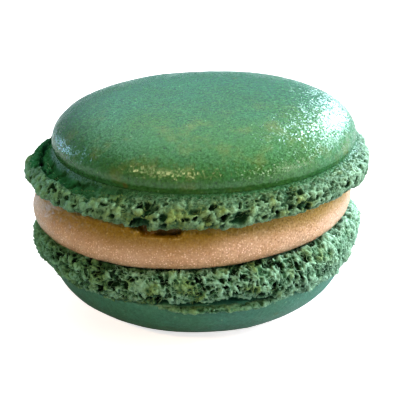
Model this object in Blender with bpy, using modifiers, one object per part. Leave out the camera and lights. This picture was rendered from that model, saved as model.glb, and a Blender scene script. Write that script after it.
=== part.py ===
"""French macaron: two domed almond shells with ruffled feet around a thick disc of cream.

Units are metres and +Z is up. The macaron stands on the small flat under its bottom shell,
its front faces -Y, and every height below is measured up from that flat.
"""

import math
import random

import bmesh
import bpy
import numpy as np
from mathutils import Vector, noise

MM = 0.001

# Driving dimensions: the domes
DOME_RADIUS = 19.7 * MM
DOME_FULLNESS = 0.55
TOP_DOME_RISE = 5.1 * MM
TOP_DOME_WIDEST = 23.0 * MM
BOTTOM_DOME_DEPTH = 8.1 * MM
BOTTOM_DOME_WIDEST = 7.8 * MM

# Driving dimensions: the feet, between the crease under each dome and the cream
TOP_FOOT_RADIUS = 22.3 * MM
BOTTOM_FOOT_RADIUS = 21.9 * MM
CREASE_RADIUS = 19.9 * MM
TOP_CREASE = 22.1 * MM
TOP_RIM = 18.4 * MM
BOTTOM_CREASE = 6.7 * MM
BOTTOM_RIM = 12.5 * MM
TOP_FOOT_SLOPE = 0.75
BOTTOM_FOOT_SLOPE = 1.15

# Driving dimensions: the cream
GAP = 0.3 * MM
CREAM_EDGE_RADIUS = 20.2 * MM
CREAM_BULGE = 0.9 * MM
BULGE_SAG = 2.15
BULGE_FULLNESS = 0.6

# A foot in section, as shares of its reach from the crease and of its height from the crease
FOOT_SECTION = (
    (0.00, 0.00),
    (0.34, 0.07),
    (0.68, 0.24),
    (0.92, 0.50),
    (1.00, 0.76),
    (0.90, 0.97),
    (0.60, 1.05),
    (0.28, 1.00),
)

# How the stack has settled. At each height: its shift to the right, and how far the right edge,
# the front edge and both sides have risen, all in millimetres.
SETTLING = (
    (0.0, -0.2, 0.0, 0.0, 0.0),
    (6.7, -0.25, -0.2, 0.0, 0.0),
    (10.8, -0.45, 0.5, 0.0, 0.0),
    (12.9, -0.95, 0.6, 0.0, 0.25),
    (14.4, -0.95, 0.5, 0.1, 0.3),
    (18.7, -0.15, 0.3, 0.1, 0.15),
    (22.0, 0.7, 0.15, -0.25, 0.1),
    (28.1, 0.7, 0.15, -0.25, 0.1),
)

# Lumps that make the feet ruffled, and the faint unevenness of the domes
LUMP_SIZE = 2.9 * MM
LUMP_DEPTH = 0.75 * MM
WAVE_SIZE = 11.0 * MM
WAVE_DEPTH = 0.45 * MM
DENT_SIZE = 14.0 * MM
DENT_DEPTH = 0.12 * MM
RUFFLE_START = 20.3 * MM
RUFFLE_RAMP = 1.1 * MM

# The hollow that opens on the left between the top dome and its foot
HOLLOW_BEARING = 178.0
HOLLOW_SPREAD = 55.0
HOLLOW_RADIUS = 20.9 * MM
HOLLOW_WIDTH = 1.3 * MM
HOLLOW_DEPTH = 1.1 * MM

# Burst bubbles in the feet: bearing in degrees from +X, height and bubble radius in millimetres
TOP_BUBBLES = (
    (-107.0, 19.7, 1.10),
    (-101.0, 20.6, 0.55),
    (-136.5, 20.0, 0.60),
    (-122.0, 21.2, 0.55),
    (-93.0, 20.9, 0.60),
    (-78.0, 19.6, 0.85),
    (-58.0, 19.8, 0.65),
    (-37.0, 20.4, 0.60),
)
BOTTOM_BUBBLES = (
    (-139.0, 11.8, 0.65),
    (-118.5, 9.8, 0.90),
    (-110.0, 11.4, 0.55),
    (-89.0, 10.9, 0.75),
    (-98.5, 8.0, 0.80),
    (-64.5, 8.3, 0.85),
    (-47.0, 11.2, 0.65),
    (-30.0, 10.4, 0.60),
)
HIDDEN_BUBBLES = 6
BUBBLE_SINK = 0.35

TURN_STEPS = 100
DOME_RINGS = 6
CREAM_RINGS = 7
MERGE_DISTANCE = 0.05 * MM
SHARP_ANGLE = math.radians(50.0)


def clear_scene():
    """Remove every object the file starts with."""
    for obj in list(bpy.data.objects):
        bpy.data.objects.remove(obj, do_unlink=True)


def new_collection(name):
    """Make a collection and link it to the scene."""
    collection = bpy.data.collections.new(name)
    bpy.context.scene.collection.children.link(collection)
    return collection


def baked_shell_material():
    """Matte blue-green of a baked, coloured almond shell."""
    return plain_material("baked_shell", (0.105, 0.300, 0.190), 0.55)


def cream_material():
    """Soft peach of the cream between the shells."""
    return plain_material("cream_filling", (0.700, 0.400, 0.220), 0.50)


def plain_material(name, colour, roughness):
    """A Principled surface of one colour."""
    material = bpy.data.materials.new(name)
    material.use_nodes = True
    surface = material.node_tree.nodes["Principled BSDF"]
    surface.inputs["Base Color"].default_value = (*colour, 1.0)
    surface.inputs["Roughness"].default_value = roughness
    surface.inputs["Metallic"].default_value = 0.0
    return material


def dome_profile(widest, rise, lowest_share):
    """Points from the pole of a dome to its widest ring, or to a flat cut near the pole.

    The radius falls as the cosine to the power DOME_FULLNESS while the height grows as the sine;
    a negative rise turns the dome over. lowest_share is the sine at which the flat cuts it.
    """
    end = math.asin(lowest_share)
    angles = [end * (1.0 - ring / DOME_RINGS) for ring in range(DOME_RINGS + 1)]
    points = []
    for angle in angles:
        radius = DOME_RADIUS * max(math.cos(angle), 0.0) ** DOME_FULLNESS
        points.append((radius, widest + rise * math.sin(angle)))
    return points


def foot_profile(edge_radius, crease, rim, slope):
    """Points of a foot, from the crease under its dome out to the edge and round to the cream.

    The smaller the slope's power, the sooner the foot falls away from the crease.
    """
    reach = edge_radius - CREASE_RADIUS
    points = []
    for out, along in FOOT_SECTION:
        points.append((CREASE_RADIUS + out * reach, crease + along**slope * (rim - crease)))
    return points


def top_shell_profile():
    """Dome, foot and flat underside of the top shell, from the top down."""
    dome = dome_profile(TOP_DOME_WIDEST, TOP_DOME_RISE, 1.0)
    dome[0] = (0.0, dome[0][1])
    foot = foot_profile(TOP_FOOT_RADIUS, TOP_CREASE, TOP_RIM, TOP_FOOT_SLOPE)
    return dome + foot + [(0.0, TOP_RIM)]


def bottom_shell_profile():
    """Flat top, foot and dome of the bottom shell, from the top down to the flat it stands on."""
    flat_share = BOTTOM_DOME_WIDEST / BOTTOM_DOME_DEPTH
    dome = dome_profile(BOTTOM_DOME_WIDEST, -BOTTOM_DOME_DEPTH, flat_share)
    below_crease = [point for point in reversed(dome) if point[1] < BOTTOM_CREASE - GAP]
    foot = foot_profile(BOTTOM_FOOT_RADIUS, BOTTOM_CREASE, BOTTOM_RIM, BOTTOM_FOOT_SLOPE)
    return [(0.0, BOTTOM_RIM)] + foot[::-1] + below_crease + [(0.0, 0.0)]


def cream_profile():
    """Side of the cream disc, bulging out lowest where it sags, from the top down."""
    top = TOP_RIM - GAP
    bottom = BOTTOM_RIM + GAP
    side = []
    for ring in range(CREAM_RINGS + 1):
        share = ring / CREAM_RINGS
        swell = math.sin(math.pi * share**BULGE_SAG)
        radius = CREAM_EDGE_RADIUS + CREAM_BULGE * max(swell, 0.0) ** BULGE_FULLNESS
        side.append((radius, top + share * (bottom - top)))
    return [(0.0, top)] + side + [(0.0, bottom)]


def turn(name, profile, material, collection):
    """Turn a profile of (radius, height) points round the Z axis and keep the result as a mesh."""
    mesh = bpy.data.meshes.new(name)
    points = [(radius, 0.0, height) for radius, height in profile]
    edges = [(index, index + 1) for index in range(len(points) - 1)]
    mesh.from_pydata(points, edges, [])
    obj = bpy.data.objects.new(name, mesh)
    collection.objects.link(obj)
    screw = obj.modifiers.new("Turn", "SCREW")
    screw.steps = TURN_STEPS
    screw.render_steps = TURN_STEPS
    screw.use_merge_vertices = True
    screw.merge_threshold = MERGE_DISTANCE
    evaluated = obj.evaluated_get(bpy.context.evaluated_depsgraph_get())
    obj.data = bpy.data.meshes.new_from_object(evaluated)
    obj.modifiers.clear()
    bpy.data.meshes.remove(mesh)
    obj.data.name = name
    obj.data.materials.append(material)
    return obj


def read_points(mesh):
    """The mesh's vertices as an array of rows x, y, z."""
    flat = np.empty(3 * len(mesh.vertices))
    mesh.vertices.foreach_get("co", flat)
    return flat.reshape(-1, 3)


def write_points(mesh, points):
    """Put moved vertices back into the mesh."""
    mesh.vertices.foreach_set("co", points.ravel())
    mesh.update()


def bumps(points, size, seed):
    """Smooth random values from -1 to 1, whose hills are about one size across."""
    offset = Vector((17.3 * seed, 5.9 * seed, 11.1 * seed))
    return np.array([noise.noise(Vector(point) / size + offset) for point in points])


def smooth_step(share):
    """Ease from 0 to 1 as the share goes from 0 to 1."""
    share = np.clip(share, 0.0, 1.0)
    return share * share * (3.0 - 2.0 * share)


def ruffle(obj, seed):
    """Push the foot out, in, up and down in lumps and waves, and dent the dome faintly."""
    points = read_points(obj.data)
    radius = np.hypot(points[:, 0], points[:, 1])
    foot = smooth_step((radius - RUFFLE_START) / RUFFLE_RAMP)
    dome = (1.0 - foot) * smooth_step((radius - CREASE_RADIUS) / (-CREASE_RADIUS))
    outward = points[:, :2] / np.maximum(radius, MERGE_DISTANCE)[:, None]
    lumps = LUMP_DEPTH * bumps(points, LUMP_SIZE, seed) + WAVE_DEPTH * bumps(points, WAVE_SIZE, seed + 1)
    rises = LUMP_DEPTH * bumps(points, LUMP_SIZE, seed + 2)
    dents = DENT_DEPTH * bumps(points, DENT_SIZE, seed + 3)
    free = (points[:, 2] > TOP_DOME_WIDEST).astype(float)
    points[:, :2] += outward * (foot * lumps)[:, None]
    points[:, 2] += foot * rises + free * dome * dents
    write_points(obj.data, points)


def open_hollow(obj):
    """Sink the ledge on the left, between the top dome and the raised edge of its foot."""
    points = read_points(obj.data)
    radius = np.hypot(points[:, 0], points[:, 1])
    bearing = np.degrees(np.arctan2(points[:, 1], points[:, 0])) % 360.0
    along = np.clip(1.0 - np.abs(bearing - HOLLOW_BEARING) / HOLLOW_SPREAD, 0.0, 1.0)
    across = np.clip(1.0 - np.abs(radius - HOLLOW_RADIUS) / HOLLOW_WIDTH, 0.0, 1.0)
    ledge = points[:, 2] > 0.5 * (TOP_CREASE + TOP_RIM)
    points[:, 2] -= HOLLOW_DEPTH * smooth_step(along) * smooth_step(across) * ledge
    write_points(obj.data, points)


def settle(points):
    """Shift and tilt points as the whole stack has settled at their height."""
    heights, shifts, rights, fronts, sides = np.array(SETTLING).T * MM
    height = points[:, 2].copy()
    across = points[:, 0] / TOP_FOOT_RADIUS
    ahead = -points[:, 1] / TOP_FOOT_RADIUS
    points[:, 0] += np.interp(height, heights, shifts)
    points[:, 2] += np.interp(height, heights, rights) * across
    points[:, 2] += np.interp(height, heights, fronts) * ahead
    points[:, 2] += np.interp(height, heights, sides) * (across**2 - ahead**2)
    return points


def settle_object(obj):
    """Settle every vertex of an object."""
    write_points(obj.data, settle(read_points(obj.data)))


def hidden_bubbles(low, high, seed):
    """Bubbles at random places round the back of a foot."""
    rng = random.Random(seed)
    step = 180.0 / HIDDEN_BUBBLES
    bubbles = []
    for index in range(HIDDEN_BUBBLES):
        bearing = step * (index + rng.uniform(0.2, 0.8))
        bubbles.append((bearing, rng.uniform(low, high) / MM, rng.uniform(0.55, 0.9)))
    return bubbles


def burst_bubbles(shell, edge_radius, bubbles, cutters):
    """Cut burst bubbles into a shell's foot, as one cutter of many balls."""
    mesh = bmesh.new()
    for bearing, height, size in bubbles:
        angle = math.radians(bearing)
        reach = edge_radius - BUBBLE_SINK * size * MM
        place = np.array([[reach * math.cos(angle), reach * math.sin(angle), height * MM]])
        ball = bmesh.ops.create_uvsphere(mesh, u_segments=10, v_segments=6, radius=size * MM)
        bmesh.ops.translate(mesh, verts=ball["verts"], vec=Vector(settle(place)[0]))
    cutter_mesh = bpy.data.meshes.new(shell.name + "_bubbles")
    mesh.to_mesh(cutter_mesh)
    mesh.free()
    cutter = bpy.data.objects.new(cutter_mesh.name, cutter_mesh)
    cutters.objects.link(cutter)
    cutter.hide_render = True
    cutter.display_type = "WIRE"
    cut = shell.modifiers.new("Bubbles", "BOOLEAN")
    cut.operation = "DIFFERENCE"
    cut.solver = "EXACT"
    cut.object = cutter


def shade_round(obj):
    """Smooth shading with sharp edges kept where the surface folds."""
    obj.data.shade_smooth()
    obj.data.set_sharp_from_angle(angle=SHARP_ANGLE)


def build_top_shell(material, parts, cutters):
    """The top shell: a low dome on a foot that flares out over the cream."""
    shell = turn("top_shell", top_shell_profile(), material, parts)
    ruffle(shell, seed=3)
    open_hollow(shell)
    settle_object(shell)
    shade_round(shell)
    bubbles = list(TOP_BUBBLES) + hidden_bubbles(TOP_RIM + GAP, TOP_CREASE - LUMP_DEPTH, seed=11)
    burst_bubbles(shell, TOP_FOOT_RADIUS, bubbles, cutters)


def build_bottom_shell(material, parts, cutters):
    """The bottom shell: the same form turned over, with a taller foot and a flat to stand on."""
    shell = turn("bottom_shell", bottom_shell_profile(), material, parts)
    ruffle(shell, seed=8)
    settle_object(shell)
    shade_round(shell)
    bubbles = list(BOTTOM_BUBBLES) + hidden_bubbles(BOTTOM_CREASE + LUMP_DEPTH, BOTTOM_RIM - GAP, seed=12)
    burst_bubbles(shell, BOTTOM_FOOT_RADIUS, bubbles, cutters)


def build_filling(material, parts):
    """The cream: a full disc that runs through from side to side."""
    cream = turn("filling", cream_profile(), material, parts)
    settle_object(cream)
    shade_round(cream)


def main():
    """Build the macaron."""
    clear_scene()
    parts = new_collection("french_macaron")
    cutters = new_collection("cutters")
    baked = baked_shell_material()
    build_bottom_shell(baked, parts, cutters)
    build_filling(cream_material(), parts)
    build_top_shell(baked, parts, cutters)


main()
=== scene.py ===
"""Looks of the french macaron: satin domes, open-crumb feet and grained cream, under a soft studio.

Shapes are worked out in millimetres, measured up from the flat that the macaron stands on, and
become metres when a mesh is made. The front faces -Y.
"""

import itertools
import math

import bpy
import numpy as np
from mathutils import Matrix, Vector


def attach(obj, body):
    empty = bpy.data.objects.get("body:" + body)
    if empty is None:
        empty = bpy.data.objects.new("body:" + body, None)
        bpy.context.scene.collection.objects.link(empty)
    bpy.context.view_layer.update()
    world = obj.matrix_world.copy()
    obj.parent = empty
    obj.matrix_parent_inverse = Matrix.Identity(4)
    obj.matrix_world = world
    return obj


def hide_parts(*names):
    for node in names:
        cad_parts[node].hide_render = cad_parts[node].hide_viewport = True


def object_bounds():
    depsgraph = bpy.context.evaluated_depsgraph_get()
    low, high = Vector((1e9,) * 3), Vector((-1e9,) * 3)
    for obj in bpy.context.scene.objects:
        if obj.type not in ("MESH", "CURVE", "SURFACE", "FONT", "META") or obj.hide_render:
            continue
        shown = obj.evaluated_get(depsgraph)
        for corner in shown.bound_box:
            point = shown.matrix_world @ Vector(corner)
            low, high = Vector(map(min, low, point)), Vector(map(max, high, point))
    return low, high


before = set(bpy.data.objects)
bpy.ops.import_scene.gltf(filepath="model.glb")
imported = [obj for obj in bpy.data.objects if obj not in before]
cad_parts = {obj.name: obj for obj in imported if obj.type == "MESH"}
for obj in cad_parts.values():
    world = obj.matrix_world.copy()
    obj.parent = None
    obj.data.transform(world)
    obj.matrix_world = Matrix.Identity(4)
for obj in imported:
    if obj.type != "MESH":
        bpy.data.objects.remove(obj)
cad_low, cad_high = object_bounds()

MM = 0.001
TURN = 2.0 * math.pi
FLOOR = cad_low.z
TOP = (cad_high.z - cad_low.z) / MM

# The domes: widest radius, the height of that ring, the rise from it, and how square the shoulder is
DOME_RADIUS = 19.85
DOME_FULLNESS = 0.55
TOP_DOME_WIDEST = 23.0
TOP_DOME_RISE = TOP - TOP_DOME_WIDEST
BOTTOM_DOME_WIDEST = 7.8
BOTTOM_DOME_DEPTH = 8.1

# The feet: reach, and the heights of the crease under each dome and of the rim at the cream
TOP_FOOT_RADIUS = 22.3
BOTTOM_FOOT_RADIUS = 21.9
TOP_RIM = 18.4
BOTTOM_CREASE = 6.7
BOTTOM_RIM = 12.5

# The cream between the rims
CREAM_EDGE_RADIUS = 20.2
CREAM_BULGE = 0.9

# How the stack has settled. At each height: its shift to the right, and how far the right edge,
# the front edge and both sides have risen.
SETTLING = (
    (0.0, -0.2, 0.0, 0.0, 0.0),
    (6.7, -0.25, -0.2, 0.0, 0.0),
    (10.8, -0.45, 0.5, 0.0, 0.0),
    (12.9, -0.95, 0.6, 0.0, 0.25),
    (14.4, -0.95, 0.5, 0.1, 0.3),
    (18.7, -0.15, 0.3, 0.1, 0.15),
    (22.0, 0.8, 0.15, -0.25, 0.1),
    (28.1, 0.8, 0.3, -0.25, 0.1),
)

# Foot sections as closed loops: radius, height, how much the corner shows, how open its crumb is,
# and how rough it is
TOP_FOOT_LOOP = (
    (18.6, 22.1, 0.2, 0.0, 0.0),
    (19.4, 22.0, 0.8, 0.0, 0.1),
    (19.75, 21.84, 2.0, 0.0, 0.5),
    (20.45, 21.5, 1.8, 0.2, 0.9),
    (21.1, 21.0, 1.0, 0.55, 0.9),
    (21.7, 20.4, 1.0, 1.0, 1.0),
    (22.1, 19.7, 1.0, 1.0, 1.0),
    (22.25, 19.05, 1.0, 1.0, 1.0),
    (22.05, 18.6, 1.0, 0.8, 1.0),
    (21.5, 18.35, 0.9, 0.7, 0.8),
    (20.7, 18.4, 0.5, 0.3, 0.6),
    (19.6, 18.5, 0.1, 0.0, 0.0),
    (17.6, 18.9, 0.05, 0.0, 0.0),
    (17.6, 21.9, 0.05, 0.0, 0.0),
)
BOTTOM_FOOT_LOOP = (
    (17.6, 12.6, 0.05, 0.0, 0.0),
    (19.1, 12.55, 0.1, 0.0, 0.3),
    (19.7, 12.05, 0.6, 0.4, 0.8),
    (20.3, 12.15, 0.9, 0.9, 1.0),
    (20.85, 12.05, 1.0, 1.0, 1.0),
    (21.25, 11.6, 1.0, 1.0, 1.0),
    (21.5, 10.8, 1.0, 1.0, 1.0),
    (21.45, 9.9, 1.0, 1.0, 1.0),
    (21.2, 9.1, 1.0, 1.0, 1.0),
    (20.85, 8.45, 1.0, 1.0, 1.0),
    (20.4, 7.85, 1.0, 1.0, 1.0),
    (20.0, 7.5, 1.0, 0.8, 1.0),
    (19.3, 7.55, 0.6, 0.4, 0.6),
    (18.6, 8.1, 0.1, 0.0, 0.0),
    (17.6, 9.0, 0.05, 0.0, 0.0),
)

# The thin second frill under the bottom foot, and where it comes out
FRILL_LOOP = (
    (18.9, 7.1, 0.1, 0.0, 0.0),
    (19.7, 7.2, 0.6, 0.3, 0.4),
    (20.3, 7.1, 1.0, 0.4, 0.5),
    (20.5, 6.9, 1.0, 0.4, 0.5),
    (20.2, 6.7, 1.0, 0.4, 0.5),
    (19.7, 6.65, 0.6, 0.3, 0.4),
    (18.9, 6.7, 0.1, 0.0, 0.0),
)
FRILL_STRETCHES = ((-83.0, 26.0), (75.0, 50.0))
FRILL_TUCK = 0.9

# The strip under the top foot where the cream has pulled back: its ends, where it reaches lowest,
# its lowest height and its depth
PULLED_ENDS = (-113.5, -95.0)
PULLED_STRETCHES = ((-101.5, 11.0),)
PULLED_HEIGHT = 16.65
PULLED_DEPTH = 0.9

# The hollow on the left, between the top dome's skirt and the raised edge of its foot
HOLLOW_STRETCHES = ((190.0, 66.0),)
HOLLOW_RADIUS = 20.45
HOLLOW_WIDTH = 1.1
HOLLOW_EDGE = 0.6
HOLLOW_DEPTH = 1.45
HOLLOW_BRIM = 21.55
LEDGE_BEARING = 200.0
RIDGE_RADIUS = 22.0
RIDGE_WIDTH = 1.1
RIDGE_LIFT = 0.10

# Where the bottom foot's rim is lifted off the frill under it, and its lift, its top and how far
# lobes hang from the rim
LIFTED_STRETCHES = ((-83.0, 25.0),)
LIFTED_RISE = 1.1
RIM_TOP = 9.8
RIM_LOBES = 0.7

# Where the crumb of each foot is closed and smoother: middle bearing and spread
TOP_CLOSED = ((-24.0, 42.0),)
BOTTOM_CLOSED = ((-16.0, 44.0), (192.0, 34.0))

# Burst bubbles: bearing in degrees from +X, height, radius and depth
TOP_BUBBLES = (
    (-107.5, 18.9, 1.25, 1.9),
    (-101.5, 20.1, 0.75, 0.45),
    (-93.0, 20.9, 0.55, 0.5),
    (-97.5, 21.1, 0.5, 0.45),
    (-109.0, 21.2, 0.45, 0.45),
    (-122.0, 21.3, 0.45, 0.6),
    (-117.0, 21.5, 0.4, 0.5),
    (-126.0, 21.4, 0.4, 0.5),
    (-137.0, 20.1, 0.6, 0.5),
    (-78.0, 19.5, 1.0, 0.8),
    (-71.5, 20.6, 0.45, 0.45),
    (-58.0, 19.6, 0.6, 0.6),
    (-54.0, 20.9, 0.3, 0.4),
    (-50.5, 21.0, 0.3, 0.4),
    (-37.0, 20.0, 0.7, 0.6),
)
BOTTOM_BUBBLES = (
    (-139.0, 12.3, 0.45, 0.6),
    (-128.0, 10.9, 0.55, 0.6),
    (-123.0, 9.6, 0.75, 0.7),
    (-117.5, 9.9, 0.85, 0.8),
    (-111.0, 11.6, 0.5, 0.6),
    (-104.0, 9.7, 0.6, 0.6),
    (-91.0, 10.6, 0.5, 0.6),
    (-83.0, 12.2, 0.6, 0.6),
    (-67.0, 12.4, 0.8, 0.8),
    (-60.0, 11.0, 0.5, 0.6),
    (-52.0, 9.9, 0.6, 0.6),
    (-38.0, 12.0, 0.6, 0.6),
)

TOP_FOOT_GRID = (76, 1300)
BOTTOM_FOOT_GRID = (66, 1500)
FRILL_GRID = (20, 1300)
TOP_DOME_GRID = (110, 640)
BOTTOM_DOME_GRID = (70, 480)
CREAM_GRID = (60, 640)
CURVE_POINTS = 40
THREAD_RINGS = 6
THREAD_ROOT = 0.06

CAMERA_ELEVATION = math.radians(20.57)
CAMERA_ROLL = math.radians(-1.15)
CAMERA_DISTANCE = 144.3 * MM
CAMERA_LENS = 96.98
CAMERA_AIM = (-0.33 * MM, 15.1 * MM)
CAMERA_TIP = math.radians(-0.67)
CAMERA_PAN = math.radians(-0.2)


# ---------------------------------------------------------------- noise, as whole arrays


def scramble(cell, salt):
    """Random numbers from 0 to 1 that depend only on a whole-numbered cell and a salt.

    The three coordinates are multiplied by large primes, joined bit by bit, and folded twice.
    """
    cell = cell.astype(np.int64)
    key = cell[..., 0] * 73856093 ^ cell[..., 1] * 19349663 ^ cell[..., 2] * 83492791 ^ salt * 40503977
    key = (key & 0xFFFFFFFF).astype(np.uint32)
    key = (key ^ (key >> np.uint32(16))) * np.uint32(0x7FEB352D)
    key = (key ^ (key >> np.uint32(15))) * np.uint32(0x846CA68B)
    return (key ^ (key >> np.uint32(16))) / 4294967296.0


def waves(points, size, salt):
    """Smooth noise from -1 to 1 with hills about one size across.

    Random values at the corners of cubes are blended with an eased share along each edge.
    """
    place = points / size
    whole = np.floor(place)
    share = place - whole
    share = share * share * (3.0 - 2.0 * share)
    total = 0.0
    for corner in itertools.product((0, 1), repeat=3):
        weight = np.prod(np.where(corner, share, 1.0 - share), axis=-1)
        total = total + weight * scramble(whole + corner, salt)
    return 2.0 * total - 1.0


def cells(points, size, salt):
    """Foam cells about one size across.

    Each cube holds one centre at a random place. Gives the distances to the nearest and the second
    nearest centre, in sizes, and the nearest centre's own random number.
    """
    place = points / size
    whole = np.floor(place)
    first = np.full(place.shape[:-1], 9.0)
    second = first.copy()
    kind = np.zeros_like(first)
    for step in itertools.product((-1, 0, 1), repeat=3):
        cell = whole + step
        centre = cell + np.stack([scramble(cell, salt + part) for part in range(3)], axis=-1)
        gap = np.linalg.norm(place - centre, axis=-1)
        nearer = gap < first
        second = np.where(nearer, first, np.minimum(second, gap))
        kind = np.where(nearer, scramble(cell, salt + 3), kind)
        first = np.where(nearer, gap, first)
    return first, second, kind


def warped(points, size, reach, salt):
    """Points pushed about by smooth noise in each direction, so that what they read looks grown."""
    push = np.stack([waves(points, size, salt + part) for part in range(3)], axis=-1)
    return points + reach * push


def ease(share):
    """Cubic ease from 0 to 1."""
    share = np.clip(share, 0.0, 1.0)
    return share * share * (3.0 - 2.0 * share)


# ---------------------------------------------------------------- surfaces


def loop_rows(corners, rows):
    """Rows round a closed loop of corners, closest together where the loop shows.

    Each stretch is a Catmull-Rom curve: the cubic through two corners whose slopes follow their
    neighbours. Rows are spaced evenly in length times how much the stretch shows.
    """
    corners = np.array(corners)
    share = np.linspace(0.0, 1.0, CURVE_POINTS, endpoint=False)[:, None]
    before, start, end, after = (np.roll(corners, shift, axis=0)[:, None] for shift in (1, 0, -1, -2))
    slope = (end - before) * share
    bend = (2.0 * before - 5.0 * start + 4.0 * end - after) * share**2
    twist = (3.0 * start - before - 3.0 * end + after) * share**3
    curve = (start + 0.5 * (slope + bend + twist)).reshape(-1, corners.shape[1])
    curve = np.vstack([curve, curve[:1]])
    show = 0.5 * (curve[1:, 2] + curve[:-1, 2])
    step = np.linalg.norm(np.diff(curve[:, :2], axis=0), axis=1) * show
    travelled = np.concatenate([[0.0], np.cumsum(step)])
    places = np.linspace(0.0, travelled[-1], rows, endpoint=False)
    return np.stack([np.interp(places, travelled, column) for column in curve.T], axis=-1)


def line_rows(radius, height, rows):
    """Rows at even steps of length along an open profile."""
    step = np.hypot(np.diff(radius), np.diff(height))
    travelled = np.concatenate([[0.0], np.cumsum(step)])
    places = np.linspace(0.0, travelled[-1], rows)
    return np.interp(places, travelled, radius), np.interp(places, travelled, height)


def turned(radius, height, columns):
    """Grid of points: a profile, one row for each of its points, carried round the Z axis."""
    angle = TURN * np.arange(columns) / columns
    radius = np.asarray(radius)[:, None]
    height = np.asarray(height)[:, None]
    across = radius * np.cos(angle)
    ahead = radius * np.sin(angle)
    return np.stack([across, ahead, np.broadcast_to(height, across.shape)], axis=-1)


def outward(grid, rows_close):
    """Unit normals of a grid: the step down the rows crossed with the step along the columns."""
    along = np.roll(grid, -1, axis=1) - np.roll(grid, 1, axis=1)
    if rows_close:
        down = np.roll(grid, -1, axis=0) - np.roll(grid, 1, axis=0)
    else:
        down = np.gradient(grid, axis=0)
    normal = np.cross(down, along)
    return normal / np.maximum(np.linalg.norm(normal, axis=-1, keepdims=True), 1e-9)


def bearings(grid):
    """Bearing of each point round the Z axis, in degrees from -180 to 180."""
    return np.degrees(np.arctan2(grid[..., 1], grid[..., 0]))


def within(bearing, stretches):
    """1 near the middle of each stretch, eased to 0 at its spread on either side, round the circle."""
    shares = []
    for middle, spread in stretches:
        gap = np.abs((bearing - middle + 180.0) % 360.0 - 180.0)
        shares.append(ease(1.6 * (1.0 - gap / spread)))
    return np.max(shares, axis=0)


def settle(grid):
    """Shift and tilt points as the stack has settled at their height: linear between the rows."""
    heights, shifts, rights, fronts, sides = np.array(SETTLING).T
    height = grid[..., 2]
    across = grid[..., 0] / TOP_FOOT_RADIUS
    ahead = -grid[..., 1] / TOP_FOOT_RADIUS
    rise = np.interp(height, heights, rights) * across + np.interp(height, heights, fronts) * ahead
    rise = rise + np.interp(height, heights, sides) * (across**2 - ahead**2)
    moved = grid.copy()
    moved[..., 0] += np.interp(height, heights, shifts)
    moved[..., 2] += rise
    return moved


def surface(name, grid, rows_close, material, shades):
    """Mesh of a grid of points whose columns close round.

    The rows close too, or each end closes on a pole, a fan of triangles round the row's middle.
    shades are named values for each point, which the materials read.
    """
    rows, columns = grid.shape[:2]
    index = np.arange(rows * columns).reshape(rows, columns)
    nearby = np.roll(index, -1, axis=1)
    upper, lower = (index, np.roll(index, -1, axis=0)) if rows_close else (index[:-1], index[1:])
    upper_next, lower_next = (nearby, np.roll(nearby, -1, axis=0)) if rows_close else (nearby[:-1], nearby[1:])
    quads = np.stack([upper, lower, lower_next, upper_next], axis=-1).reshape(-1, 4)
    points = grid.reshape(-1, 3)
    fans = np.empty((0, 3), dtype=int)
    shades = {shade: values.ravel() for shade, values in shades.items()}
    if not rows_close:
        points = np.vstack([points, grid[0].mean(axis=0), grid[-1].mean(axis=0)])
        top, bottom = rows * columns, rows * columns + 1
        first = np.stack([np.full(columns, top), index[0], nearby[0]], axis=-1)
        last = np.stack([index[-1], np.full(columns, bottom), nearby[-1]], axis=-1)
        fans = np.vstack([first, last])
        shades = {shade: np.append(values, [values[0], values[-1]]) for shade, values in shades.items()}
    return solid(name, points, quads, fans, material, shades)


def solid(name, points, quads, fans, material, shades):
    """Mesh of points in millimetres with four-sided faces, three-sided faces and values for each point."""
    mesh = bpy.data.meshes.new(name)
    mesh.vertices.add(len(points))
    mesh.vertices.foreach_set("co", (points * MM + (0.0, 0.0, FLOOR)).astype(np.float32).ravel())
    mesh.loops.add(quads.size + fans.size)
    mesh.loops.foreach_set("vertex_index", np.concatenate([quads.ravel(), fans.ravel()]).astype(np.int32))
    mesh.polygons.add(len(quads) + len(fans))
    starts = np.concatenate([np.arange(len(quads)) * 4, quads.size + np.arange(len(fans)) * 3])
    mesh.polygons.foreach_set("loop_start", starts.astype(np.int32))
    mesh.update(calc_edges=True)
    mesh.validate()
    mesh.shade_smooth()
    for shade, values in shades.items():
        mesh.attributes.new(shade, "FLOAT", "POINT").data.foreach_set("value", values.astype(np.float32))
    obj = bpy.data.objects.new(name, mesh)
    bpy.context.scene.collection.objects.link(obj)
    obj.data.materials.append(material)
    return obj


def belongs(obj, node):
    """The piece rides on the macaron and takes the place of a solid, whose part is hidden."""
    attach(obj, "root")
    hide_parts(node)


# ---------------------------------------------------------------- the crumb of the feet


def bubble_dip(points, bubbles, edge_radius):
    """Depth of each point in the named burst bubbles: the bubble's depth, eased out to its radius."""
    dip = np.zeros(points.shape[:2])
    ragged = waves(points, 0.7, 901)
    for bearing, height, size, depth in bubbles:
        angle = math.radians(bearing)
        centre = np.array([edge_radius * math.cos(angle), edge_radius * math.sin(angle), height])
        gap = np.linalg.norm(points - centre, axis=-1) / size + 0.22 * ragged
        dip = np.maximum(dip, depth * ease(2.2 * (1.0 - gap)))
    return dip


def craters(points, size, salt, share, depth):
    """Pores and lumps: a share of the foam cells sinks to a steep-walled pit, and the rest swells.

    A pit is an eased step down inside about half a size, with a thin raised rim; a lump is a
    paraboloid on the other cells.
    """
    first, second, kind = cells(points, size, salt)
    sunk = kind < share
    width = 0.34 + 0.22 * ((kind * 97.0) % 1.0)
    pit = ease((width - first) / 0.14) * (0.5 + 0.5 * ((kind * 31.0) % 1.0))
    rim = 0.22 * np.exp(-(((first - width - 0.06) / 0.09) ** 2))
    lump = np.clip(1.0 - 2.2 * first * first, 0.0, 1.0)
    return depth * np.where(sunk, rim - pit, 0.45 * lump)


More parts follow.
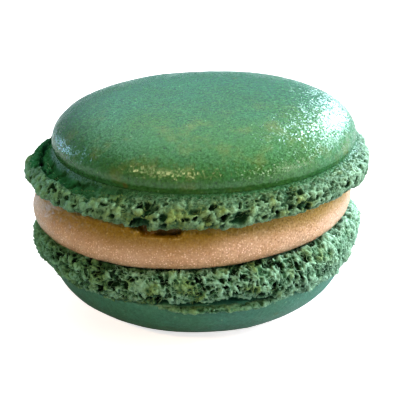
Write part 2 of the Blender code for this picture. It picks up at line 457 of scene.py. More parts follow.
def walls(points, size, salt, depth):
    """Open crumb: thin walls stand where two foam cells meet, and the cells between them sink."""
    first, second, kind = cells(points, size, salt)
    return -depth * ease((second - first - 0.05) / 0.28) * (0.3 + 0.7 * kind)


def strings(points, size, salt, depth):
    """Stringy crumb: thin ridges run where smooth noise crosses zero, as one minus its size, cubed."""
    return depth * (1.0 - np.abs(waves(points, size, salt))) ** 3


def top_relief(points, salt):
    """Heights of the top foot's crumb, coarse to fine: round lobes, pores between, and a crinkled skin.

    Where the crumb is closed, the lobes and pores are shallow.
    """
    depth = 1.0 - 0.5 * within(bearings(points), TOP_CLOSED)
    lobes = depth * craters(warped(points, 2.6, 0.55, salt), 2.1, salt + 10, 0.28, 0.60)
    pores = depth * craters(warped(points, 1.0, 0.40, salt + 20), 0.95, salt + 30, 0.54, 0.80)
    fine = craters(warped(points, 0.5, 0.18, salt + 40), 0.42, salt + 50, 0.34, 0.20)
    fine = fine + strings(points, 0.5, salt + 60, 0.12) - 0.03
    return lobes, pores, fine


def bottom_relief(points, salt):
    """Heights of the bottom foot's crumb, coarse to fine: clumps, open cells between, and threads.

    Where the crumb is closed, the clumps and cells are shallow and soft folds run across instead.
    """
    closed = within(bearings(points), BOTTOM_CLOSED)
    clumps = (1.0 - 0.75 * closed) * craters(warped(points, 3.0, 0.8, salt), 2.3, salt + 10, 0.34, 0.85)
    pores = (1.0 - 0.8 * closed) * craters(warped(points, 1.2, 0.5, salt + 20), 1.0, salt + 30, 0.42, 0.78)
    pores = pores + closed * strings(warped(points, 2.4, 0.8, salt + 80), 1.8, salt + 85, 0.35)
    fine = (1.0 - 0.5 * closed) * walls(warped(points, 0.8, 0.40, salt + 40), 0.72, salt + 50, 0.50)
    fine = fine + strings(warped(points, 0.6, 0.25, salt + 55), 0.45, salt + 60, 0.26) - 0.06
    return clumps, pores, fine


def crumb_foot(name, loop, grid_size, edge_radius, bubbles, salt, reliefs, shape, material):
    """A foot: a closed loop carried round, pushed out and in by foam of falling sizes.

    Waves bend the whole ring, lobes ruffle it, pores burst it open and fine crumb roughens it. Each
    push follows the normals left by the one before, so that the pores lean and overhang.
    """
    rows, columns = grid_size
    section = loop_rows(loop, rows)
    base, smooth = shape(turned(section[:, 0], section[:, 1], columns))
    lobes, pores, fine = reliefs(base, salt)
    dip = bubble_dip(base, bubbles, edge_radius)
    calm = 1.0 - 0.8 * ease(dip / 0.5)
    crumb = calm * (section[:, 3, None] * (1.0 - smooth) + 0.7 * smooth)
    rough = calm * section[:, 4, None]
    sway = 0.32 * waves(base, 9.0, salt + 90) + 0.22 * waves(base, 4.2, salt + 91)
    grid = base + outward(base, True) * (section[:, 3, None] * sway + crumb * lobes)[..., None]
    grid[..., 2] += section[:, 3, None] * 0.32 * waves(base, 3.1, salt + 92)
    grid = grid + outward(grid, True) * (crumb * pores - dip)[..., None]
    grain = 0.05 * waves(base, 0.26, salt + 93)
    grid = grid + outward(grid, True) * (rough * (fine + grain))[..., None]
    relief = crumb * (0.5 * lobes + pores) + rough * (fine + grain) - np.minimum(dip, 0.5)
    skin = np.broadcast_to(ease(1.0 - 4.0 * section[:, 3, None]), relief.shape)
    grid = settle(grid)
    # The hollow mask also takes in the burst bubbles, which the crumb's finish darkens with partly painted shade.
    shades = {"relief": relief, "hollow": np.maximum(smooth, ease(dip / 1.4)), "skin": skin}
    return surface(name, grid, True, material, shades), grid


def tucked_frill(grid):
    """Draw the frill in under the foot, except where it comes out, eased at both ends."""
    radius = np.hypot(grid[..., 0], grid[..., 1])
    tuck = FRILL_TUCK * (1.0 - within(bearings(grid), FRILL_STRETCHES))
    tucked = grid.copy()
    tucked[..., :2] *= (1.0 - tuck / radius)[..., None]
    return tucked, np.zeros(grid.shape[:2])


def lifted_rim(grid):
    """Lift the lower rim of the bottom foot where the frill shows, and let lobes hang all round it.

    The lift is eased along and down. A lobe hangs wherever smooth noise is above zero.
    """
    low = ease((RIM_TOP - grid[..., 2]) / 2.4)
    rise = LIFTED_RISE * within(bearings(grid), LIFTED_STRETCHES)
    lobes = RIM_LOBES * waves(grid * (1.0, 1.0, 0.3), 1.5, 2300).clip(-0.1)
    lifted = grid.copy()
    lifted[..., 2] += low * (rise - lobes)
    return lifted, np.zeros(grid.shape[:2])


def open_hollow(grid):
    """Sink the ledge on the left and raise the edge outside it, and say where it is smooth and darkened with partly
    painted shade.

    The hollow is darkened, partly with painted shade, from the skirt to the ridge, and on the far side out to its edge.
    """
    radius = np.hypot(grid[..., 0], grid[..., 1])
    bearing = bearings(grid) % 360.0
    along = within(bearing, HOLLOW_STRETCHES)
    above = ease((grid[..., 2] - 19.4) / 0.8)
    across = ease((HOLLOW_WIDTH - np.abs(radius - HOLLOW_RADIUS)) / HOLLOW_EDGE)
    ridge = ease(1.0 - np.abs(radius - RIDGE_RADIUS) / RIDGE_WIDTH)
    far = ease((LEDGE_BEARING - bearing) / 12.0)
    sunk = grid.copy()
    sunk[..., 2] += above * along * ((1.0 - far) * RIDGE_LIFT * ridge - HOLLOW_DEPTH * across)
    brim = HOLLOW_BRIM + 1.1 * far
    # Where the crumb's finish paints the hollow's green, partly painted shade.
    dark = np.where(radius < HOLLOW_RADIUS, ease((across - 0.35) / 0.4), ease((brim - radius) / 0.3))
    return sunk, above * along * dark


def threads(name, grid, rows, count, reach, lift, thickness, salt, material):
    """Strands of crumb: arcs from one point of a foot to another near it, standing off in between.

    A strand is the straight line between its two ends plus lift times the sine of the way along,
    and its square section is thickest in the middle.
    """
    random = np.random.default_rng(salt)
    normal = outward(grid, True)
    columns = grid.shape[1]
    row = random.integers(rows[0], rows[1], count)
    column = random.integers(0, columns, count)
    far_row = np.clip(row + random.integers(-reach[0], reach[0] + 1, count), rows[0], rows[1])
    far_column = (column + random.integers(-reach[1], reach[1] + 1, count)) % columns
    along = np.linspace(0.0, 1.0, THREAD_RINGS)[None, :, None]
    start = (grid[row, column] - THREAD_ROOT * normal[row, column])[:, None]
    end = (grid[far_row, far_column] - THREAD_ROOT * normal[far_row, far_column])[:, None]
    up = normal[row, column][:, None]
    rise = lift * random.uniform(0.3, 1.0, (count, 1, 1)) * np.sin(math.pi * along)
    sway = 0.3 * lift * random.normal(size=(count, 1, 3)) * np.sin(TURN * along)
    path = start + (end - start) * along + rise * up + sway
    side = np.cross(end - start, up)
    side = side / np.maximum(np.linalg.norm(side, axis=-1, keepdims=True), 1e-6)
    width = thickness * random.uniform(0.6, 1.3, (count, 1, 1)) * (0.45 + 0.55 * np.sin(math.pi * along))
    corners = [path + width * (x * side + y * up) for x, y in ((1, 0), (0, 1), (-1, 0), (0, -1))]
    points = np.stack(corners, axis=2).reshape(-1, 3)
    ring = np.arange(4)
    band = np.stack([ring, ring + 4, (ring + 1) % 4 + 4, (ring + 1) % 4], axis=-1)
    bands = (band[None] + 4 * np.arange(THREAD_RINGS - 1)[:, None, None]).reshape(-1, 4)
    caps = np.array([[0, 1, 2, 3], [3, 2, 1, 0]]) + [[0], [4 * (THREAD_RINGS - 1)]]
    one = np.vstack([bands, caps])
    faces = (one[None] + 4 * THREAD_RINGS * np.arange(count)[:, None, None]).reshape(-1, 4)
    relief = np.full(len(points), 0.3)
    return solid(name, points, faces, np.empty((0, 3), dtype=int), material, {"relief": relief})


# ---------------------------------------------------------------- domes and cream


def dome_line(widest, rise, lowest_share):
    """Dome profile from its pole: the radius is the widest times a power of the cosine."""
    angle = np.linspace(math.asin(lowest_share), 0.0, 200)
    radius = DOME_RADIUS * np.cos(angle).clip(0.0) ** DOME_FULLNESS
    return radius, widest + rise * np.sin(angle)


def top_dome(material):
    """The smooth dome, which tucks under to a lip, a fine groove and the crease, and closes inside."""
    radius, height = dome_line(TOP_DOME_WIDEST, TOP_DOME_RISE, 1.0)
    tuck = np.linspace(0.0, 1.0, 30)[1:]
    groove = 0.13 * np.exp(-(((tuck - 0.62) / 0.10) ** 2))
    side = DOME_RADIUS - 0.22 * tuck**2 - groove
    radius = np.concatenate([radius, side, [18.9, 15.0]])
    height = np.concatenate([height, TOP_DOME_WIDEST - 1.15 * tuck, [21.75, 21.9]])
    rows, columns = TOP_DOME_GRID
    radius, height = line_rows(radius, height, rows)
    grid = turned(radius, height, columns)
    normal = outward(grid, False)
    skin = ease((grid[..., 2] - 21.9) / 0.5)
    relief = 0.09 * waves(grid, 9.0, 201) + 0.035 * waves(grid, 3.2, 202) + 0.016 * waves(grid, 1.1, 203)
    relief = relief + 0.012 * waves(grid, 0.5, 204)
    first, second, kind = cells(grid, 1.9, 205)
    pinholes = 0.10 * ease((0.10 - first) / 0.05) * (kind < 0.35)
    grid = settle(grid + normal * (skin * (relief - pinholes))[..., None])
    piece = surface("top_dome", grid, False, material, {"pinhole": pinholes * 10.0})
    belongs(piece, "top_shell")


def bottom_dome(material):
    """The bottom dome turned over, from inside its foot down to the flat it stands on."""
    flat_share = BOTTOM_DOME_WIDEST / BOTTOM_DOME_DEPTH
    radius, height = dome_line(BOTTOM_DOME_WIDEST, -BOTTOM_DOME_DEPTH, flat_share)
    flat = np.linspace(1.0, 0.3, 4)[1:]
    shown = height < BOTTOM_CREASE + 0.45
    radius = np.concatenate([[14.0, 17.8, 18.6, 19.5], radius[shown][::-1], radius[0] * flat])
    height = np.concatenate([[11.0, 9.6, 7.8, 7.4], height[shown][::-1], 0.0 * flat])
    rows, columns = BOTTOM_DOME_GRID
    radius, height = line_rows(radius, height, rows)
    grid = turned(radius, height, columns)
    normal = outward(grid, False)
    skin = ease((grid[..., 2] - 0.05) / 1.2)
    relief = 0.10 * waves(grid, 8.0, 301) + 0.04 * waves(grid, 2.9, 302) + 0.012 * waves(grid, 1.0, 303)
    first, second, kind = cells(grid, 1.8, 305)
    pinholes = 0.10 * ease((0.11 - first) / 0.05) * (kind < 0.4)
    grid = settle(grid + normal * (skin * (relief - pinholes))[..., None])
    piece = surface("bottom_dome", grid, False, material, {"pinhole": pinholes * 10.0})
    belongs(piece, "bottom_shell")


def cream(material):
    """The cream disc: its side swells as the sine of a power of the way down, so it sags low."""
    top = TOP_RIM - 0.05
    bottom = BOTTOM_RIM + 0.25
    share = np.linspace(0.0, 1.0, 80)
    swell = np.sin(math.pi * share**2.15).clip(0.0)
    side = CREAM_EDGE_RADIUS + CREAM_BULGE * swell**0.6
    radius = np.concatenate([[16.0, 19.0], side, [19.5, 16.0]])
    height = np.concatenate([[top, top], top + share * (bottom - top), [bottom - 0.1, bottom - 0.1]])
    rows, columns = CREAM_GRID
    radius, height = line_rows(radius, height, rows)
    grid = turned(radius, height, columns)
    normal = outward(grid, False)
    show = ease((np.hypot(grid[..., 0], grid[..., 1]) - 19.5) / 0.8)
    relief = 0.14 * waves(grid, 8.0, 401) + 0.05 * waves(grid, 2.6, 402) + 0.016 * waves(grid, 0.8, 403)
    # Painted shade: this mask darkens the cream to olive brown toward its top, under the top foot.
    painted_shade_under_foot = ease((grid[..., 2] - 14.6 + 0.5 * waves(grid, 5.0, 405)) / 2.6)
    bearing = bearings(grid)
    ragged = 0.35 * waves(grid, 1.6, 406) + 0.12 * waves(grid, 0.5, 407)
    inside = np.minimum(bearing - PULLED_ENDS[0], PULLED_ENDS[1] - bearing) / 1.5
    lowest = PULLED_HEIGHT + 0.9 * (1.0 - within(bearing, PULLED_STRETCHES)) + ragged
    pulled = ease((grid[..., 2] - lowest) / 0.12) * ease(inside + 2.0 * ragged)
    grid = settle(grid + normal * (show * (relief - PULLED_DEPTH * pulled))[..., None])
    piece = surface("cream_filling", grid, False, material, {"painted_shade_under_foot": painted_shade_under_foot, "pulled": pulled})
    belongs(piece, "filling")


# ---------------------------------------------------------------- materials


def node(tree, kind, inputs=(), **settings):
    """Add a node, set its settings, and feed its inputs: a value is set, and a socket is linked."""
    made = tree.nodes.new(kind)
    for key, value in settings.items():
        setattr(made, key, value)
    for key, value in dict(inputs).items():
        if isinstance(value, bpy.types.NodeSocket):
            tree.links.new(value, made.inputs[key])
        else:
            made.inputs[key].default_value = value
    return made


def blank_material(name):
    """A material with nothing but its output and a Principled surface."""
    material = bpy.data.materials.new(name)
    material.use_nodes = True
    tree = material.node_tree
    tree.nodes.clear()
    shader = tree.nodes.new("ShaderNodeBsdfPrincipled")
    output = tree.nodes.new("ShaderNodeOutputMaterial")
    tree.links.new(shader.outputs[0], output.inputs["Surface"])
    return material, tree, shader


def in_millimetres(tree):
    """Object coordinates in millimetres."""
    place = node(tree, "ShaderNodeTexCoord").outputs["Object"]
    return node(tree, "ShaderNodeVectorMath", {0: place, 1: (1000.0,) * 3}, operation="MULTIPLY").outputs[0]


def noise(tree, place, size, detail=2.0, roughness=0.5):
    """Noise from 0 to 1 with features about one size across, in millimetres."""
    inputs = {"Vector": place, "Scale": 1.0 / size, "Detail": detail, "Roughness": roughness}
    return node(tree, "ShaderNodeTexNoise", inputs).outputs[0]


def ranged(tree, value, low, high, start=0.0, end=1.0):
    """Map low to start and high to end, and hold outside."""
    inputs = {0: value, 1: low, 2: high, 3: start, 4: end}
    return node(tree, "ShaderNodeMapRange", inputs).outputs[0]


def mixed(tree, share, low, high, way="MIX"):
    """Colour from low to high as the share goes from 0 to 1."""
    inputs = {0: share, 6: colour_of(low), 7: colour_of(high)}
    return node(tree, "ShaderNodeMix", inputs, data_type="RGBA", blend_type=way).outputs[2]


def colour_of(value):
    """A socket as it is, or a colour with its alpha added."""
    return value if isinstance(value, bpy.types.NodeSocket) else (*value, 1.0)


def maths(tree, operation, first, second):
    """One step of arithmetic on two values or sockets."""
    return node(tree, "ShaderNodeMath", {0: first, 1: second}, operation=operation).outputs[0]


def bumped(tree, height, distance, normal=None):
    """Normal of a surface raised by height times distance, in millimetres."""
    inputs = {"Height": height, "Distance": distance * MM, "Strength": 1.0}
    if normal is not None:
        inputs["Normal"] = normal
    return node(tree, "ShaderNodeBump", inputs).outputs[0]


def speckle_group():
    """Shader group: small round dots scattered on foam cells, as a mask that is 1 inside a dot."""
    tree = bpy.data.node_groups.new("Speckles", "ShaderNodeTree")
    face = tree.interface
    face.new_socket("Vector", in_out="INPUT", socket_type="NodeSocketVector")
    for name, value in (("Spacing", 1.0), ("Radius", 0.15), ("Share", 0.3)):
        face.new_socket(name, in_out="INPUT", socket_type="NodeSocketFloat").default_value = value
    face.new_socket("Mask", in_out="OUTPUT", socket_type="NodeSocketFloat")
    given = node(tree, "NodeGroupInput").outputs
    scale = maths(tree, "DIVIDE", 1.0, given["Spacing"])
    foam = node(tree, "ShaderNodeTexVoronoi", {"Vector": given["Vector"], "Scale": scale})
    colour = node(tree, "ShaderNodeSeparateColor", {0: foam.outputs["Color"]})
    chosen = maths(tree, "LESS_THAN", colour.outputs[0], given["Share"])
    reach = maths(tree, "MULTIPLY", given["Radius"], scale)
    edge = maths(tree, "DIVIDE", foam.outputs["Distance"], reach)
    inside = ranged(tree, edge, 0.6, 1.1, 1.0, 0.0)
    mask = maths(tree, "MULTIPLY", inside, chosen)
    node(tree, "NodeGroupOutput", {"Mask": mask})
    return tree


def speckles(tree, group, place, spacing, radius, share):
    """Place the speckle group with its own spacing, dot radius and share of dots."""
    made = tree.nodes.new("ShaderNodeGroup")
    made.node_tree = group
    tree.links.new(place, made.inputs["Vector"])
    made.inputs["Spacing"].default_value = spacing
    made.inputs["Radius"].default_value = radius
    made.inputs["Share"].default_value = share
    return made.outputs["Mask"]


def glitter_group():
    """Shader group: sugar grains on foam cells, each of which tips the normal its own way."""
    tree = bpy.data.node_groups.new("Glitter", "ShaderNodeTree")
    face = tree.interface
    face.new_socket("Vector", in_out="INPUT", socket_type="NodeSocketVector")
    for name, value in (("Size", 0.2), ("Tilt", 0.3), ("Share", 0.5)):
        face.new_socket(name, in_out="INPUT", socket_type="NodeSocketFloat").default_value = value
    face.new_socket("Normal", in_out="OUTPUT", socket_type="NodeSocketVector")
    given = node(tree, "NodeGroupInput").outputs
    scale = maths(tree, "DIVIDE", 1.0, given["Size"])
    colour = node(tree, "ShaderNodeTexVoronoi", {"Vector": given["Vector"], "Scale": scale}).outputs["Color"]
    even = node(tree, "ShaderNodeVectorMath", {0: colour, 1: (0.5, 0.5, 0.5)}, operation="SUBTRACT").outputs[0]
    draw = node(tree, "ShaderNodeSeparateColor", {0: colour}).outputs[2]
    chosen = maths(tree, "LESS_THAN", draw, given["Share"])
    reach = maths(tree, "MULTIPLY", chosen, maths(tree, "MULTIPLY", given["Tilt"], 2.0))
    tip = node(tree, "ShaderNodeVectorMath", {0: even, "Scale": reach}, operation="SCALE").outputs[0]
    normal = node(tree, "ShaderNodeNewGeometry").outputs["Normal"]
    tipped = node(tree, "ShaderNodeVectorMath", {0: normal, 1: tip}, operation="ADD").outputs[0]
    made = node(tree, "ShaderNodeVectorMath", {0: tipped}, operation="NORMALIZE").outputs[0]
    node(tree, "NodeGroupOutput", {"Normal": made})
    return tree


def glitter(tree, group, place, size, tilt, share):
    """Place the glitter group with its own grain size, tilt and share of tipped grains."""
    made = tree.nodes.new("ShaderNodeGroup")
    made.node_tree = group
    tree.links.new(place, made.inputs["Vector"])
    made.inputs["Size"].default_value = size
    made.inputs["Tilt"].default_value = tilt
    made.inputs["Share"].default_value = share
    return made.outputs["Normal"]


def read_shade(tree, name):
    """A named value that the mesh holds for each point."""
    return node(tree, "ShaderNodeAttribute", attribute_name=name).outputs["Fac"]


def dome_material(name, groups, warm, cool, gold, roughness, tilt):
    """Satin baked skin: mottled green, cooler toward the back and warmer in front with partly painted light, pale
    specks, dark pinholes and a fine grain.
    """
    material, tree, shader = blank_material(name)
    place = in_millimetres(tree)
    mottle = ranged(tree, noise(tree, place, 7.0, 3.0), 0.32, 0.68, -0.35, 0.35)
    # Partly painted light: the mottle varies the green at random, and the Y ramp turns it from the warm green in front
    # to the cool green toward the back, which paints warm light in front and cool light at the top.
    painted_cool_back = ranged(tree, node(tree, "ShaderNodeSeparateXYZ", {0: place}).outputs["Y"], -19.0, 4.0)
    colour = mixed(tree, maths(tree, "ADD", mottle, painted_cool_back), warm, cool)
    fine = ranged(tree, noise(tree, place, 0.38, 4.0, 0.7), 0.25, 0.75)
    colour = mixed(tree, 0.75, colour, mixed(tree, fine, (0.02, 0.06, 0.02), (0.55, 0.72, 0.55)), "SOFT_LIGHT")
    pale = speckles(tree, groups["specks"], place, 0.8, 0.12, 0.25)
    colour = mixed(tree, maths(tree, "MULTIPLY", pale, 0.5), colour, (0.30, 0.50, 0.28))
    dark = speckles(tree, groups["specks"], place, 1.2, 0.12, 0.22)
    colour = mixed(tree, maths(tree, "MULTIPLY", dark, 0.65), colour, (0.015, 0.035, 0.008))
    golden = ranged(tree, noise(tree, place, 3.2, 4.0, 0.65), 0.52, 0.72, 0.0, gold)
    front = ranged(tree, node(tree, "ShaderNodeSeparateXYZ", {0: place}).outputs["Y"], 2.0, -12.0)
    colour = mixed(tree, maths(tree, "MULTIPLY", golden, front), colour, (0.155, 0.175, 0.040))
    brown = speckles(tree, groups["specks"], place, 4.5, 0.45, 0.18)
    colour = mixed(tree, maths(tree, "MULTIPLY", brown, 0.5), colour, (0.16, 0.10, 0.02))
    hole = ranged(tree, read_shade(tree, "pinhole"), 0.1, 0.8)
    colour = mixed(tree, hole, colour, (0.01, 0.03, 0.012))
    tree.links.new(colour, shader.inputs["Base Color"])
    shine = ranged(tree, noise(tree, place, 1.5, 2.0), 0.3, 0.7, roughness - 0.06, roughness + 0.08)
    tree.links.new(shine, shader.inputs["Roughness"])
    grains = glitter(tree, groups["glitter"], place, 0.16, tilt, 0.85)
    grain = bumped(tree, noise(tree, place, 0.35, 3.0, 0.6), 0.06, grains)
    tree.links.new(bumped(tree, dark, -0.05, grain), shader.inputs["Normal"])
    shader.inputs["Specular IOR Level"].default_value = 0.9
    shader.inputs["Specular Tint"].default_value = (0.86, 1.0, 0.95, 1.0)
    return material


def crumb_material(name, groups, pit, middle, ridge, olive, bump_depth):
    """Open crumb: dark in its pores with painted shade and pale on its ridges, paler on the right with painted light
    and cooler on the left with painted shade, a hollow of partly painted shade, with olive patches and sugary glints.
    """
    material, tree, shader = blank_material(name)
    place = in_millimetres(tree)
    relief = read_shade(tree, "relief")
    wander = ranged(tree, noise(tree, place, 0.25, 3.0, 0.7), 0.0, 1.0, -0.07, 0.07)
    relief = maths(tree, "ADD", relief, wander)
    deep = ranged(tree, relief, -0.34, 0.0)
    high = ranged(tree, relief, -0.02, 0.25)
    across = node(tree, "ShaderNodeSeparateXYZ", {0: place}).outputs["X"]
    patch = maths(tree, "ADD", noise(tree, place, 2.6, 3.0), ranged(tree, across, -20.0, 20.0, 0.09, -0.05))
    light = mixed(tree, ranged(tree, patch, 0.50, 0.64), ridge, olive)
    # Painted light: the ridges turn paler toward the right.
    light = mixed(tree, ranged(tree, across, 11.0, 22.0, 0.0, 0.5), light, (0.50, 0.70, 0.60))
    # Painted shade: the ridges turn a cooler, bluer green toward the left.
    light = mixed(tree, ranged(tree, across, -8.0, -20.0, 0.0, 0.6), light, (0.16, 0.38, 0.28))
    # Painted shade: the pores are mixed to the near-black pit colour.
    colour = mixed(tree, deep, pit, mixed(tree, high, middle, light))
    colour = mixed(tree, maths(tree, "MULTIPLY", read_shade(tree, "skin"), 0.7), colour, (0.040, 0.145, 0.056))
    # Partly painted shade: the hollow and the burst bubbles take the hollow's saturated green, darkest where they lie
    # lowest.
    hollow_green_and_shade = mixed(tree, ranged(tree, relief, -0.6, 0.25), (0.001, 0.045, 0.010), (0.026, 0.165, 0.072))
    colour = mixed(tree, read_shade(tree, "hollow"), colour, hollow_green_and_shade)
    tone = ranged(tree, noise(tree, place, 0.32, 4.0, 0.7), 0.3, 0.7)
    colour = mixed(tree, 0.45, colour, mixed(tree, tone, (0.02, 0.05, 0.02), (0.6, 0.7, 0.55)), "SOFT_LIGHT")
    tree.links.new(colour, shader.inputs["Base Color"])
    shine = ranged(tree, noise(tree, place, 0.4, 2.0), 0.35, 0.65, 0.16, 0.55)
    dull = maths(tree, "MAXIMUM", shine, maths(tree, "SUBTRACT", 1.0, deep))
    dull = maths(tree, "MAXIMUM", dull, read_shade(tree, "hollow"))
    tree.links.new(dull, shader.inputs["Roughness"])
    grains = glitter(tree, groups["glitter"], place, 0.16, 0.34, 0.6)
    grain = bumped(tree, noise(tree, place, 0.20, 4.0, 0.75), bump_depth, grains)
    tree.links.new(grain, shader.inputs["Normal"])
    shader.inputs["Specular IOR Level"].default_value = 0.7
    shader.inputs["Specular Tint"].default_value = (0.62, 1.0, 0.78, 1.0)
    return material


def cream_material(groups):
    """Peach cream: satin, softly lit from within, with a very fine grain and painted glints, painted shade under the
    top foot, and a pulled-back strip painted dark brown as shade.
    """
    material, tree, shader = blank_material("cream")
    place = in_millimetres(tree)
    mottle = ranged(tree, noise(tree, place, 5.0, 3.0), 0.35, 0.65)
    colour = mixed(tree, mottle, (0.52, 0.315, 0.20), (0.58, 0.38, 0.28))
    painted_shade_under_foot = ranged(tree, read_shade(tree, "painted_shade_under_foot"), 0.0, 1.0)
    # Painted glints: small pale pink dots scattered over the cream.
    pale = speckles(tree, groups["specks"], place, 0.27, 0.09, 0.65)
    colour = mixed(tree, maths(tree, "MULTIPLY", pale, 0.6), colour, (1.0, 0.72, 0.62))
    # Painted shade: olive brown toward the top of the cream, under the top foot.
    colour = mixed(tree, painted_shade_under_foot, colour, (0.26, 0.155, 0.006))
    # Painted shade: the strip where the cream has pulled back is painted dark brown.
    colour = mixed(tree, read_shade(tree, "pulled"), colour, (0.17, 0.085, 0.002))
    grains = ranged(tree, noise(tree, place, 0.22, 2.0, 0.7), 0.3, 0.75)
    colour = mixed(tree, 0.4, colour, mixed(tree, grains, (0.12, 0.06, 0.03), (0.9, 0.8, 0.65)), "SOFT_LIGHT")
    tree.links.new(colour, shader.inputs["Base Color"])
    grains = glitter(tree, groups["glitter"], place, 0.17, 0.30, 0.7)
    tree.links.new(bumped(tree, noise(tree, place, 0.28, 2.0, 0.6), 0.05, grains), shader.inputs["Normal"])
    shader.inputs["Roughness"].default_value = 0.24
    shader.inputs["Subsurface Weight"].default_value = 0.12
    shader.inputs["Subsurface Radius"].default_value = (1.0, 0.5, 0.25)
    shader.inputs["Subsurface Scale"].default_value = 1.0 * MM
    return material


# ---------------------------------------------------------------- studio


def floor():
    """A wide pale floor just under the macaron, which throws less light back than it shows."""
    material, tree, shader = blank_material("pale_floor")
    seen = node(tree, "ShaderNodeLightPath").outputs["Is Camera Ray"]
    tree.links.new(mixed(tree, seen, (0.46, 0.46, 0.46), (0.95, 0.82, 0.88)), shader.inputs["Base Color"])
    shader.inputs["Emission Color"].default_value = (1.0, 1.0, 1.0, 1.0)
    tree.links.new(maths(tree, "MULTIPLY", seen, 0.6), shader.inputs["Emission Strength"])
    shader.inputs["Roughness"].default_value = 0.9
    mesh = bpy.data.meshes.new("floor")
    half = 3.0
    corners = [(-half, -half, FLOOR), (half, -half, FLOOR), (half, half, FLOOR), (-half, half, FLOOR)]
    mesh.from_pydata(corners, [], [(0, 1, 2, 3)])
    mesh.materials.append(material)
    obj = bpy.data.objects.new("floor", mesh)
    bpy.context.scene.collection.objects.link(obj)


def window(name, bearing, elevation, distance, width, height, power, colour, mirrored=True):
    """A soft rectangular light that faces the macaron from a bearing and an elevation in degrees.

    A light that isn't mirrored brightens surfaces but leaves no shine on them.
    """
    light = bpy.data.lights.new(name, "AREA")
    light.shape = "RECTANGLE"
    light.size = width
    light.size_y = height
    light.energy = power
    light.color = colour
    obj = bpy.data.objects.new(name, light)
    obj.visible_glossy = mirrored
    turn, lift = math.radians(bearing), math.radians(elevation)
    away = Vector((math.cos(turn) * math.cos(lift), math.sin(turn) * math.cos(lift), math.sin(lift)))
    target = Vector((0.0, 0.0, FLOOR + 0.5 * TOP * MM))
    obj.location = target + distance * away
    obj.rotation_euler = (-away).to_track_quat("-Z", "Y").to_euler()
    bpy.context.scene.collection.objects.link(obj)


def lights():
    """Windows on the right, a small one on the left, a warm lamp in front and a wide soft top."""
    window("right_window", 57.0, 20.0, 0.60, 0.19, 0.16, 2.1, (0.70, 0.88, 1.0))
    window("low_window", 24.0, 22.0, 0.60, 0.16, 0.12, 0.9, (0.78, 0.94, 1.0))
    window("side_window", -28.0, 14.0, 0.60, 0.20, 0.10, 0.8, (1.0, 0.94, 0.78))
    window("right_lamp", 8.0, 30.0, 0.60, 0.60, 0.44, 6.8, (0.92, 0.98, 1.0), mirrored=False)
    window("left_window", 142.0, 5.0, 0.60, 0.10, 0.04, 0.30, (0.42, 0.68, 1.0))
    window("front_lamp", -119.0, 35.0, 0.60, 0.26, 0.03, 1.35, (1.0, 0.80, 0.46))
    window("top_fill", 70.0, 70.0, 0.80, 1.50, 1.30, 5.5, (0.66, 1.0, 0.78))


def sky():
    """Dim light from all round, warm at the front left and cool at the back right, on a pale backdrop."""
    world = bpy.data.worlds.new("studio")
    bpy.context.scene.world = world
    world.use_nodes = True
    tree = world.node_tree
    tree.nodes.clear()
    direction = node(tree, "ShaderNodeTexCoord").outputs["Generated"]
    toward = {0: direction, 1: (0.6, 0.8, 0.0)}
    ahead = node(tree, "ShaderNodeVectorMath", toward, operation="DOT_PRODUCT").outputs["Value"]
    tint = mixed(tree, ranged(tree, ahead, -0.8, 0.8), (0.085, 0.085, 0.065), (0.28, 0.31, 0.50))
    seen = node(tree, "ShaderNodeLightPath").outputs["Is Camera Ray"]
    glow = node(tree, "ShaderNodeBackground", {0: mixed(tree, seen, tint, (1.0, 1.0, 1.0)), 1: 1.0})
    output = tree.nodes.new("ShaderNodeOutputWorld")
    tree.links.new(glow.outputs[0], output.inputs["Surface"])


def camera():
    """The camera looks down on the front from a little above, rolled a little."""
    lens = bpy.data.cameras.new("camera")
    lens.sensor_width = 36.0
    lens.lens = CAMERA_LENS
    lens.clip_start = 0.01
    obj = bpy.data.objects.new("camera", lens)
    aim = Vector((CAMERA_AIM[0], 0.0, FLOOR + CAMERA_AIM[1]))
    away = Vector((0.0, -math.cos(CAMERA_ELEVATION), math.sin(CAMERA_ELEVATION)))
    obj.location = aim + CAMERA_DISTANCE * away
    facing = (-away).to_track_quat("-Z", "Y").to_matrix()
    for angle, axis in ((CAMERA_ROLL, "Z"), (CAMERA_TIP, "X"), (CAMERA_PAN, "Y")):
        facing = facing @ Matrix.Rotation(angle, 3, axis)
    obj.rotation_euler = facing.to_euler()
    bpy.context.scene.collection.objects.link(obj)
    bpy.context.scene.camera = obj


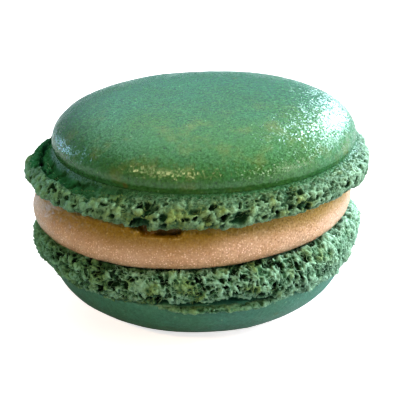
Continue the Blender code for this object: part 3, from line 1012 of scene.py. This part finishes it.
def main():
    """Build the macaron's pieces, then the studio round it."""
    groups = {"specks": speckle_group(), "glitter": glitter_group()}
    top_skin = dome_material("top_skin", groups, (0.062, 0.155, 0.043), (0.058, 0.192, 0.108), 0.55, 0.18, 0.20)
    # The bottom dome's skin is a bluer copy of the top's: painted cool light from below.
    bottom_skin_painted_cool = dome_material("bottom_skin_painted_cool", groups, (0.058, 0.19, 0.14), (0.050, 0.19, 0.20), 0.0, 0.45, 0.08)
    top_crumb = crumb_material(
        "top_crumb", groups, (0.003, 0.024, 0.006), (0.036, 0.090, 0.040), (0.21, 0.31, 0.20), (0.21, 0.25, 0.08), 0.10
    )
    bottom_crumb = crumb_material(
        "bottom_crumb", groups, (0.002, 0.016, 0.002), (0.065, 0.17, 0.09), (0.33, 0.51, 0.39), (0.22, 0.31, 0.12), 0.14
    )
    top_dome(top_skin)
    bottom_dome(bottom_skin_painted_cool)
    cream(cream_material(groups))
    top_foot, top_grid = crumb_foot(
        "top_foot", TOP_FOOT_LOOP, TOP_FOOT_GRID, TOP_FOOT_RADIUS, TOP_BUBBLES, 1000, top_relief, open_hollow, top_crumb
    )
    bottom_foot, bottom_grid = crumb_foot(
        "bottom_foot", BOTTOM_FOOT_LOOP, BOTTOM_FOOT_GRID, BOTTOM_FOOT_RADIUS, BOTTOM_BUBBLES, 2000,
        bottom_relief, lifted_rim, bottom_crumb,
    )
    frill, frill_grid = crumb_foot(
        "bottom_frill", FRILL_LOOP, FRILL_GRID, BOTTOM_FOOT_RADIUS, (), 3000, top_relief, tucked_frill, bottom_crumb
    )
    top_threads = threads("top_threads", top_grid, (12, 52), 1500, (3, 7), 0.16, 0.05, 41, top_crumb)
    bottom_threads = threads("bottom_threads", bottom_grid, (6, 56), 3800, (5, 9), 0.30, 0.055, 42, bottom_crumb)
    for piece in (top_foot, top_threads):
        belongs(piece, "top_shell")
    for piece in (bottom_foot, frill, bottom_threads):
        belongs(piece, "bottom_shell")
    floor()
    lights()
    sky()
    camera()
    bpy.context.scene.view_settings.view_transform = "Standard"
    bpy.context.scene.view_settings.look = "Medium High Contrast"


main()
